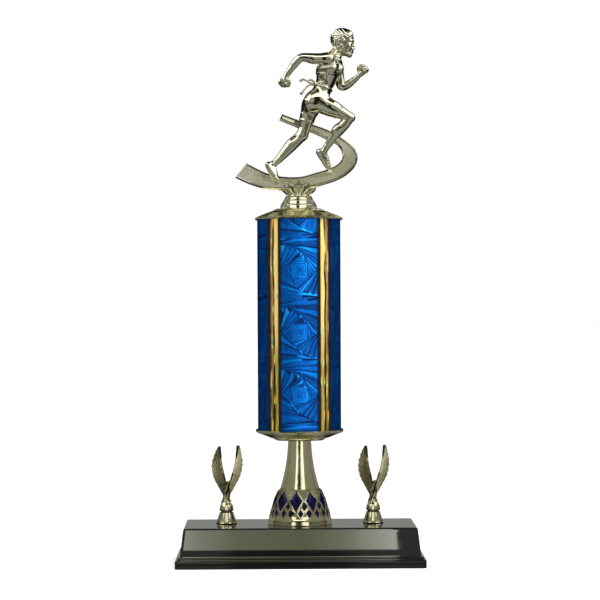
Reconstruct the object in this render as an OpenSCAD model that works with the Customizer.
// Column trophy: a black weighted base, a ten-sided riser set with stones,
// a foil-wrapped column between two ribbed caps, and a runner on a curved track.
// Millimetres, +Z up, origin at the middle of the underside, front towards -Y.

/* [Base] */
// Width of the base flange
base_w = 227; // [200:1:260]
// Depth of the base flange
base_d = 100; // [92:1:115]
// Height of the base
base_h = 35.5; // [30:0.5:45]
// Width of the flat top of the base
base_top_w = 212; // [190:1:214]
// Depth of the flat top of the base
base_top_d = 80; // [72:1:86]
// Wall of the base moulding
base_wall = 2.5; // [1.5:0.1:3.5]

/* [Riser] */
// Height of the riser
riser_h = 77; // [60:1:95]
// Corner radius of the riser's neck
riser_neck_r = 10.9; // [9.5:0.1:14]
// Corner radius of the riser's foot
riser_foot_r = 29.6; // [24:0.1:33]
// Wall of the riser moulding
riser_wall = 1.8; // [1.2:0.1:2.5]

/* [Column] */
// Width across the side faces of the column
column_w = 76.2; // [60:0.1:90]
// Depth across the front and back faces of the column
column_d = 58; // [50:1:70]
// Width of the flat front face
column_front_w = 34; // [24:1:40]
// Depth of the flat side face
column_side_d = 22; // [16:1:30]
// Length of the column between its caps
column_len = 194; // [120:1:260]
// Wall of the column tube
column_wall = 2; // [1.2:0.1:3]

/* [Caps] */
// Height of a column cap
cap_h = 10; // [8:0.5:14]
// Overhang of a cap's rim past the column
cap_overhang = 2.4; // [1:0.1:4]
// Width of a cap's small end
cap_end_w = 45; // [38:1:56]

/* [Hardware] */
// Diameter of the centre rod
rod_d = 6; // [5:0.5:8]
// Width across the flats of the rod's nuts
nut_af = 11; // [10:0.5:14]
// Thickness of a nut
nut_h = 5; // [3:0.5:6]
// Diameter of the washers
washer_d = 18; // [14:1:20]
// Thickness of a washer
washer_h = 1.5; // [1:0.1:2]

/* [Trims] */
// Distance of each wing trim from the centre line
trim_x = 68; // [50:1:85]
// Distance of the trims behind the centre line
trim_y = 6; // [-5:1:12]
// Turn of the left trim about its own axis
left_trim_turn = 25; // [-45:5:45]
// Turn of the right trim about its own axis
right_trim_turn = 20; // [-45:5:45]

/* [Hidden] */

gold = [0.78, 0.74, 0.56];
black_plastic = [0.05, 0.05, 0.055];
foil_blue = [0.05, 0.28, 0.72];
stone_blue = [0.05, 0.03, 0.32];
steel = [0.62, 0.63, 0.65];
fine_fn = 48;
rough_fn = 14;
cut = 1;

// Heights of the stack, from the floor up
riser_z = base_h;
cap_low_z = riser_z + riser_h;
column_z = cap_low_z + cap_h;
cap_up_z = column_z + column_len;
figure_z = cap_up_z + cap_h;

// Base details
flange_h = 7.6;
step_h = 10;
step_w = base_w - 5;
step_d = base_d - 5;
body_w = base_w - 9;
body_d = base_d - 10;
corner_r = 6;
top_plate = 3;
felt_gap = 0.2;
felt_h = 1.5;
board_h = 2;
board_w = body_w - 10;
board_d = body_d - 10;
weight_w = base_top_w - 14;
weight_d = base_top_d - 14;
weight_z = felt_gap + felt_h + board_h;
plate_z = base_h - top_plate;
rod_bottom_z = plate_z - washer_h - nut_h - 3;
nut_well_d = 24;
screw_well_d = 14;
screw_d = 3.5;
screw_head_d = 7.5;
screw_head_h = 2.2;
screw_len = 15;
screw_washer_d = 10;
screw_washer_h = 1;
running_gap = 0.2;

// Riser details
riser_sides = 10;
riser_step = 360 / riser_sides;
riser_skirt = 4.3;
riser_curve = 1.88;
riser_rings = 9;
riser_deck = 2;
stone_turn = -9;
band_share = 0.985;
stone_seat = -1.6;

// Column details
wrap_t = 0.3;
tape_t = 0.25;
strip_from = 0.11;
strip_to = 0.43;
tape_end = 0.54;
collar_h = 8;
collar_t = 1.6;
rim_t = 1.2;
cap_deck = 2;
cap_end_d = 33;

// Figure details
boss_h = 11.4;
boss_r = 10.9;
plate_w = 34;
plate_top_w = 26;
plate_t = 8;
crown_z = figure_z + boss_h;
crown_h = 16;
petals = 12;
crown_wall = 1.4;
hub_h = 6.6;
track_t = 2.2;
track_steps = 4;
insert_h = 6;
insert_z = crown_z - 1;

// Stations along the two edges of the track, from its near end round to its far end
track_outer = [
  [-58, -5, 356], [-45, -7, 350], [-31, -8, 346], [-14, -8, 344.5], [4, -8, 345],
  [20, -7, 348.5], [38, -4, 355], [50, 1, 364], [55, 7, 375], [51, 14, 385],
  [41, 20, 393], [28, 23, 401], [14, 25, 406], [-1, 26, 411], [-15, 26, 416]
];
track_inner = [
  [-48, 3, 369], [-36, 2, 362.5], [-26, 2, 358.5], [-13, 2, 356], [2, 2, 356],
  [15, 3, 359.5], [28, 5, 363.5], [37, 7, 368.5], [41, 9, 375.5], [40, 11, 383],
  [35, 13, 389], [25, 14, 394], [12, 15, 400], [-3, 16, 405.5], [-17, 16, 411.5]
];

// Joints of the running figure: the near side is the figure's right
head_c = [42, 0, 482];
neck_c = [33, 0, 466];
chest_c = [30.5, 0, 458];
waist_c = [23, 0, 440];
hips_c = [17.5, 0, 429];
near_shoulder = [29, -9, 464];
near_elbow = [4.5, -13, 465];
near_hand = [-13.5, -10, 442.5];
far_shoulder = [35, 9, 461.5];
far_elbow = [43, 12, 441];
far_hand = [62, 8, 457];
near_hip = [20, -5, 426];
near_knee = [46.5, -6, 409];
near_ankle = [21, -2, 383];
near_heel = [17.5, -1, 379.5];
near_toe = [27.5, 3, 365];
far_hip = [14, 5, 423];
far_knee = [2.5, 4, 396];
far_ankle = [-25, -2, 369.5];
far_heel = [-28, -3, 367];
far_toe = [-18.5, -5.5, 352.5];

// Wing trim sections: height above the base, inner edge x and y, outer edge x and y
wing_rows = [
  [26, 0, -1, 3.5, 0], [34, 1.2, -2.5, 8.2, 0], [44, 4, -4, 13.6, -0.5],
  [55, 7, -5, 15.3, -1], [66, 8.3, -5.5, 12.8, -3], [72, 9, -5.5, 10, -5]
];
wing_t = 1.5;

// ---- shared shapes ----

// A rectangle with round corners
module rounded_rect(w, d, r) {
  square([w - 2 * r, d], center = true);
  square([w, d - 2 * r], center = true);
  for (sx = [-1, 1], sy = [-1, 1])
    translate([sx * (w / 2 - r), sy * (d / 2 - r)])
      circle(r, $fn = 32);
}

// A block that tapers from one rounded rectangle to another
module tapered_block(w0, d0, w1, d1, z0, z1, r) {
  skin = 0.05;
  hull() {
    translate([0, 0, z0])
      linear_extrude(skin)
        rounded_rect(w0, d0, r);
    translate([0, 0, z1 - skin])
      linear_extrude(skin)
        rounded_rect(w1, d1, r);
  }
}

// Outline of the column: flat front and sides joined by slanting corners
function column_points(grow) = let(
    hw = column_w / 2 + grow,
    hd = column_d / 2 + grow,
    fx = column_front_w / 2 + grow * 0.4,
    sy = column_side_d / 2 + grow * 0.4)
  [[fx, -hd], [hw, -sy], [hw, sy], [fx, hd], [-fx, hd], [-hw, sy], [-hw, -sy], [-fx, -hd]];

// Outline of a cap's small end
function cap_end_points(shrink) = let(
    hw = cap_end_w / 2 - shrink,
    hd = cap_end_d / 2 - shrink,
    fx = cap_end_w * 0.19,
    sy = cap_end_d * 0.19)
  [[fx, -hd], [hw, -sy], [hw, sy], [fx, hd], [-fx, hd], [-hw, sy], [-hw, -sy], [-fx, -hd]];

// A closed solid through a list of rings that have the same number of points
module loft(rings) {
  n = len(rings[0]);
  last = len(rings) - 1;
  points = [for (ring = rings, p = ring) p];
  sides = [for (i = [0 : last - 1], j = [0 : n - 1])
    let(a = i * n + j, b = i * n + (j + 1) % n)
    each [[a, b + n, b], [a, a + n, b + n]]];
  bottom = [for (j = [1 : n - 2]) [0, j, j + 1]];
  top = [for (j = [1 : n - 2]) [last * n, last * n + j + 1, last * n + j]];
  polyhedron(points, concat(sides, bottom, top), convexity = 6);
}

// A hexagon nut on the rod's axis
module hex_nut(z, af, h) {
  translate([0, 0, z])
    difference() {
      cylinder(r = af / 2 / cos(30), h = h, $fn = 6);
      translate([0, 0, -cut])
        cylinder(d = rod_d, h = h + 2 * cut, $fn = fine_fn);
    }
}

// A flat washer on the rod's axis
module flat_washer(z, d, bore, h) {
  translate([0, 0, z])
    difference() {
      cylinder(d = d, h = h, $fn = fine_fn);
      translate([0, 0, -cut])
        cylinder(d = bore, h = h + 2 * cut, $fn = fine_fn);
    }
}

// ---- base ----

// Places its children at both trim positions
module at_trims() {
  for (side = [-1, 1])
    translate([side * trim_x, trim_y, 0])
      children();
}

// Black hollow moulding with a stepped flange
module base_shell() {
  color(black_plastic)
    difference() {
      union() {
        linear_extrude(flange_h)
          rounded_rect(base_w, base_d, corner_r);
        linear_extrude(step_h)
          rounded_rect(step_w, step_d, corner_r);
        tapered_block(body_w, body_d, base_top_w, base_top_d, cut, base_h, corner_r);
      }
      tapered_block(body_w - 2 * base_wall, body_d - 2 * base_wall,
        base_top_w - 2 * base_wall, base_top_d - 2 * base_wall, -cut, plate_z, corner_r - base_wall);
      cylinder(d = rod_d + 2 * running_gap, h = base_h + cut, $fn = fine_fn);
      at_trims()
        cylinder(d = screw_d + 2 * running_gap, h = base_h + cut, $fn = fine_fn);
    }
}

// Cast slab that weighs the base down, with wells for the hardware
module base_weight() {
  color("gray")
    difference() {
      translate([0, 0, weight_z])
        linear_extrude(plate_z - weight_z)
          rounded_rect(weight_w, weight_d, corner_r);
      translate([0, 0, -cut])
        cylinder(d = nut_well_d, h = base_h, $fn = fine_fn);
      at_trims()
        cylinder(d = screw_well_d, h = base_h, $fn = fine_fn);
    }
}

// Hardboard panel glued under the slab
module bottom_board() {
  color("saddlebrown")
    translate([0, 0, felt_gap + felt_h])
      linear_extrude(board_h)
        rounded_rect(board_w, board_d, corner_r);
}

// Felt sheet glued under the board
module felt_pad() {
  color("darkgreen")
    translate([0, 0, felt_gap])
      linear_extrude(felt_h)
        rounded_rect(board_w - 2, board_d - 2, corner_r);
}

// ---- hardware ----

// Rod that clamps base, riser, caps and column together
module center_rod() {
  color(steel)
    translate([0, 0, rod_bottom_z])
      cylinder(d = rod_d, h = insert_z + insert_h - 1 - rod_bottom_z, $fn = fine_fn);
}

module rod_bottom_washer() {
  color(steel)
    flat_washer(plate_z - washer_h, washer_d, rod_d + 2 * running_gap, washer_h);
}

module rod_bottom_nut() {
  color(steel)
    hex_nut(plate_z - washer_h - nut_h, nut_af, nut_h);
}

module rod_top_washer() {
  color(steel)
    flat_washer(figure_z, 13, rod_d + 2 * running_gap, washer_h);
}

module rod_top_nut() {
  color(steel)
    hex_nut(figure_z + washer_h, nut_af, nut_h);
}

// Screws that hold the trims from under the base
module trim_screws() {
  color(steel)
    at_trims()
      translate([0, 0, plate_z - screw_washer_h]) {
        cylinder(d = screw_d, h = screw_len, $fn = fine_fn);
        translate([0, 0, -screw_head_h])
          cylinder(d = screw_head_d, h = screw_head_h, $fn = fine_fn);
      }
}

module trim_washers() {
  color(steel)
    at_trims()
      flat_washer(plate_z - screw_washer_h, screw_washer_d, screw_d + 2 * running_gap, screw_washer_h);
}

// ---- riser ----

// Corner radius of the riser at a height above its foot
function riser_radius(h) = h <= riser_skirt ? riser_foot_r
  : riser_neck_r + (riser_foot_r - riser_neck_r)
    * pow((riser_h - h) / (riser_h - riser_skirt), riser_curve);

// One ten-sided ring of the riser
function riser_ring(r, z) = [for (k = [0 : riser_sides - 1])
  [r * cos(k * riser_step), r * sin(k * riser_step), z]];

// Heights of the riser's rings above its foot
function riser_heights() = concat([0],
  [for (i = [0 : riser_rings]) riser_skirt + (riser_h - riser_skirt) * i / riser_rings]);

// Ten-sided flared shell, open below
module riser_shell() {
  heights = riser_heights();
  inside = [for (h = heights) min(h, riser_h - riser_deck)];
  color(gold)
    difference() {
      translate([0, 0, riser_z])
        loft([for (h = heights) riser_ring(riser_radius(h), h)]);
      translate([0, 0, riser_z])
        loft([for (i = [0 : len(inside) - 1])
          riser_ring(riser_radius(inside[i]) - riser_wall, i == 0 ? -cut : inside[i])]);
      cylinder(d = rod_d + 2 * running_gap, h = cap_low_z + cut, $fn = fine_fn);
    }
}

// Radius of the stone band at a height above the riser's foot
function band_radius(h) = riser_radius(h) * band_share;

// A point of the stone band at an angle from the front
function band_point(a, h, lift) =
  [(band_radius(h) + lift) * sin(a), -(band_radius(h) + lift) * cos(a), riser_z + h];

// One diamond stone: half its angle, its lowest, widest and highest levels, its rise
module stone(a, half, low, mid, high, rise) {
  rim = [band_point(a, low, 0), band_point(a + half, mid, 0),
    band_point(a, high, 0), band_point(a - half, mid, 0)];
  points = concat(rim, [band_point(a, mid, rise), band_point(a, mid, stone_seat)]);
  faces = [for (i = [0 : 3]) each [[i, 4, (i + 1) % 4], [(i + 1) % 4, 5, i]]];
  polyhedron(points, faces);
}

module riser_stones_large() {
  color(stone_blue)
    for (k = [0 : riser_sides - 1])
      stone(stone_turn + k * riser_step, 13.5, 13.5, 23, 31.5, 2.8);
}

module riser_stones_upper() {
  color(stone_blue)
    for (k = [0 : riser_sides - 1])
      stone(stone_turn + (k + 0.5) * riser_step, 5.2, 14.5, 18.3, 22, 1.4);
}

module riser_stones_lower() {
  color(stone_blue)
    for (k = [0 : riser_sides - 1], side = [-1, 1])
      stone(stone_turn + (k + 0.5) * riser_step + side * 7.4, 5.2, 7.4, 11.2, 15.2, 1.4);
}

// ---- column ----

module column_tube() {
  color("dimgray")
    translate([0, 0, column_z])
      linear_extrude(column_len)
        difference() {
          polygon(column_points(-wrap_t));
          polygon(column_points(-wrap_t - column_wall));
        }
}

// Printed foil round the tube
module column_wrap() {
  color(foil_blue)
    translate([0, 0, column_z])
      linear_extrude(column_len)
        difference() {
          polygon(column_points(0));
          polygon(column_points(-wrap_t));
        }
}

// A tape laid on every slanting corner, between two shares of its width
module corner_tape(from, to) {
  edge = column_points(0);
  a = edge[0];
  b = edge[1];
  run = [b[0] - a[0], b[1] - a[1]];
  out = [run[1], -run[0]] / norm(run) * tape_t;
  for (sx = [0, 1], sy = [0, 1])
    mirror([sx, 0, 0])
      mirror([0, sy, 0])
        translate([0, 0, column_z])
          linear_extrude(column_len)
            polygon([a + run * from, a + run * from + out, a + run * to + out, a + run * to]);
}

module column_gold_strips() {
  color("gold")
    corner_tape(strip_from, strip_to);
}

module column_black_tapes() {
  color(black_plastic) {
    corner_tape(0, strip_from);
    corner_tape(strip_to, tape_end);
  }
}

// A cap with its rim on the z = 0 plane, its small end up and its collar down
module column_cap() {
  inner = -wrap_t - column_wall;
  difference() {
    union() {
      hull() {
        linear_extrude(rim_t)
          polygon(column_points(cap_overhang));
        translate([0, 0, cap_h - 1])
          linear_extrude(1)
            polygon(cap_end_points(0));
      }
      translate([0, 0, -collar_h])
        linear_extrude(collar_h + rim_t)
          polygon(column_points(inner - running_gap));
    }
    translate([0, 0, -collar_h - cut])
      linear_extrude(collar_h + cut)
        polygon(column_points(inner - running_gap - collar_t));
    hull() {
      translate([0, 0, -cut])
        linear_extrude(cut)
          polygon(column_points(inner - running_gap - collar_t));
      translate([0, 0, cap_h - cap_deck - 0.1])
        linear_extrude(0.1)
          polygon(cap_end_points(3));
    }
    cylinder(d = rod_d + 2 * running_gap, h = cap_h + cut, $fn = fine_fn);
  }
}

module column_cap_lower() {
  color(gold)
    translate([0, 0, column_z])
      mirror([0, 0, 1])
        column_cap();
}

module column_cap_upper() {
  color(gold)
    translate([0, 0, cap_up_z])
      column_cap();
}

// ---- figure ----

// Stepped boss with a flared plate behind it
module figure_base() {
  ring_gap = 0.5;
  nut_room = washer_h + nut_h + 0.4;
  color(gold)
    translate([0, 0, figure_z])
      difference() {
        union() {
          cylinder(r = boss_r, h = 4, $fn = fine_fn);
          cylinder(r = boss_r - 1.5, h = boss_h, $fn = fine_fn);
          translate([0, 0, 4 + ring_gap])
            cylinder(r = boss_r - 0.8, h = 4, $fn = fine_fn);
          hull() {
            translate([-plate_w / 2, 0, 0])
              cube([plate_w, plate_t, 1]);
            translate([-plate_top_w / 2, 0, boss_h - 1])
              cube([plate_top_w, plate_t, 1]);
          }
        }
        translate([0, 0, -cut])
          cylinder(d = 14, h = nut_room + cut, $fn = fine_fn);
        cylinder(d = rod_d + 2 * running_gap, h = boss_h + cut, $fn = fine_fn);
        translate([0, 0, insert_z - figure_z])
          cylinder(r = nut_af / 2 / cos(30), h = insert_h, $fn = 6);
      }
}

// Outline ring of the crown, an ellipse that widens upward
function crown_ring(rx, ry, z) = [for (k = [0 : 23]) [rx * cos(k * 15), ry * sin(k * 15), z]];

// Cup of pointed petals that grips the track
module crown_cup(inset) {
  loft([crown_ring(10.5 - inset, 8.5 - inset, 0), crown_ring(13.2 - inset, 10 - inset, 6),
    crown_ring(15.6 - inset, 11.2 - inset, 11), crown_ring(16.8 - inset, 12 - inset, crown_h)]);
}

module figure_crown() {
  notch = 4.2;
  color(gold)
    translate([0, 0, crown_z])
      difference() {
        crown_cup(0);
        difference() {
          translate([0, 0, 0.01])
            crown_cup(crown_wall);
          translate([0, 0, hub_h / 2])
            cube([60, 60, hub_h], center = true);
        }
        for (k = [0 : petals - 1])
          rotate([0, 0, (k + 0.5) * 360 / petals])
            translate([0, 0, crown_h + 0.2])
              rotate([90, 0, 90])
                linear_extrude(30)
                  polygon([[-notch, cut], [0, -7], [notch, cut]]);
        translate([0, 0, -cut])
          cylinder(d = rod_d + 2 * running_gap, h = insert_h, $fn = fine_fn);
        translate([0, 0, -cut])
          cylinder(r = nut_af / 2 / cos(30), h = insert_h, $fn = 6);
      }
}

module figure_insert_nut() {
  color(steel)
    hex_nut(insert_z, nut_af, insert_h);
}

// Smooth value between b and c on a curve through a, b, c and d
function curve_at(a, b, c, d, t) = 0.5 * (2 * b + (c - a) * t
  + (2 * a - 5 * b + 4 * c - d) * t * t + (3 * b - a - 3 * c + d) * t * t * t);

// Smooth rail through a list of stations
function rail(list) = let(last = len(list) - 1) concat(
  [for (i = [0 : last - 1], s = [0 : track_steps - 1])
    curve_at(list[max(i - 1, 0)], list[i], list[i + 1], list[min(i + 2, last)], s / track_steps)],
  [list[last]]);

// Four corners of the track's section between its two rails
function track_ring(p, q, along) = let(
    n = cross(q - p, along),
    back = n / norm(n) * track_t)
  [p, q, q + back, p + back];

// Running track: a banked U-shaped band
module track_band() {
  outer = rail(track_outer);
  inner = rail(track_inner);
  last = len(outer) - 1;
  color(gold)
    loft([for (i = [0 : last])
      track_ring(outer[i], inner[i], outer[min(i + 1, last)] - outer[max(i - 1, 0)])]);
}

// A limb or body part between two round ends
module limb(a, ra, b, rb) {
  hull() {
    translate(a)
      sphere(ra, $fn = rough_fn);
    translate(b)
      sphere(rb, $fn = rough_fn);
  }
}

// Runner in full stride, leaning forward
module runner_figure() {
  color(gold) {
    limb(head_c + [-1.5, 0, 1.2], 9.6, head_c + [4.5, 0, -8.5], 4.5);
    limb(head_c + [-5, 0, -5], 5, neck_c, 4.8);
    limb(neck_c + [-1, 0, -2], 5, chest_c + [-2, 0, -2], 8.2);
    limb(chest_c + [-2, -4, 1], 7, chest_c + [-2, 4, 1], 7);
    limb(chest_c + [0, 0, -4], 7.6, waist_c, 6.4);
    limb(waist_c, 6.4, hips_c, 8.4);
    limb(near_shoulder, 4.6, near_elbow, 3.4);
    limb(near_elbow, 3.4, near_hand, 2.9);
    limb(far_shoulder, 4.6, far_elbow, 3.3);
    limb(far_elbow, 3.3, far_hand, 2.9);
    limb(near_hip, 8.2, near_knee, 4.6);
    limb(near_knee, 4.6, near_ankle, 2.6);
    limb(near_heel, 2.6, near_toe, 1.8);
    limb(near_ankle, 2.6, near_heel, 2.6);
    limb(far_hip, 8, far_knee, 4.6);
    limb(far_knee, 4.6, far_ankle, 2.5);
    limb(far_heel, 2.5, far_toe, 1.7);
    limb(far_ankle, 2.5, far_heel, 2.5);
  }
}

// ---- wing trims ----

// One raised wing on the given side of the bird
module wing(side) {
  rows = [for (row = wing_rows) let(
      chord = [row[3] - row[1], row[4] - row[2]],
      n = [-chord[1], chord[0]] / norm(chord) * wing_t)
    [[side * row[1], row[2], row[0]], [side * row[3], row[4], row[0]],
      [side * (row[3] + n[0]), row[4] + n[1], row[0]],
      [side * (row[1] + n[0]), row[2] + n[1], row[0]]]];
  loft(side > 0 ? rows : [for (row = rows) [row[3], row[2], row[1], row[0]]]);
}

// Turned foot, bird's body and two wings
module wing_trim(turn) {
  pilot = screw_d / 2 - 0.2;
  difference() {
    union() {
      rotate_extrude($fn = fine_fn)
        polygon([[0, 0], [9.5, 0], [9.5, 1], [8.9, 3.4], [7.5, 7], [6.4, 10.6], [5.8, 11.2],
          [6.6, 12], [6.6, 14.6], [5.6, 17.2], [4.2, 19], [3.7, 21], [0, 21]]);
      rotate([0, 0, turn]) {
        hull() {
          translate([0, -0.5, 20])
            sphere(3.4, $fn = rough_fn);
          translate([0, -1, 30])
            sphere(3.2, $fn = rough_fn);
          translate([0.6, -3, 38])
            sphere(1.6, $fn = rough_fn);
        }
        wing(1);
        wing(-1);
      }
    }
    translate([0, 0, -cut])
      cylinder(r = pilot, h = screw_len - top_plate + cut, $fn = fine_fn);
  }
}

module trim_left() {
  color(gold)
    translate([-trim_x, trim_y, base_h])
      wing_trim(left_trim_turn);
}

module trim_right() {
  color(gold)
    translate([trim_x, trim_y, base_h])
      wing_trim(right_trim_turn);
}

base_shell();
base_weight();
bottom_board();
felt_pad();
center_rod();
rod_bottom_washer();
rod_bottom_nut();
riser_shell();
riser_stones_large();
riser_stones_upper();
riser_stones_lower();
column_cap_lower();
column_tube();
column_wrap();
column_gold_strips();
column_black_tapes();
column_cap_upper();
rod_top_washer();
rod_top_nut();
figure_base();
figure_crown();
figure_insert_nut();
track_band();
runner_figure();
trim_left();
trim_right();
trim_screws();
trim_washers();
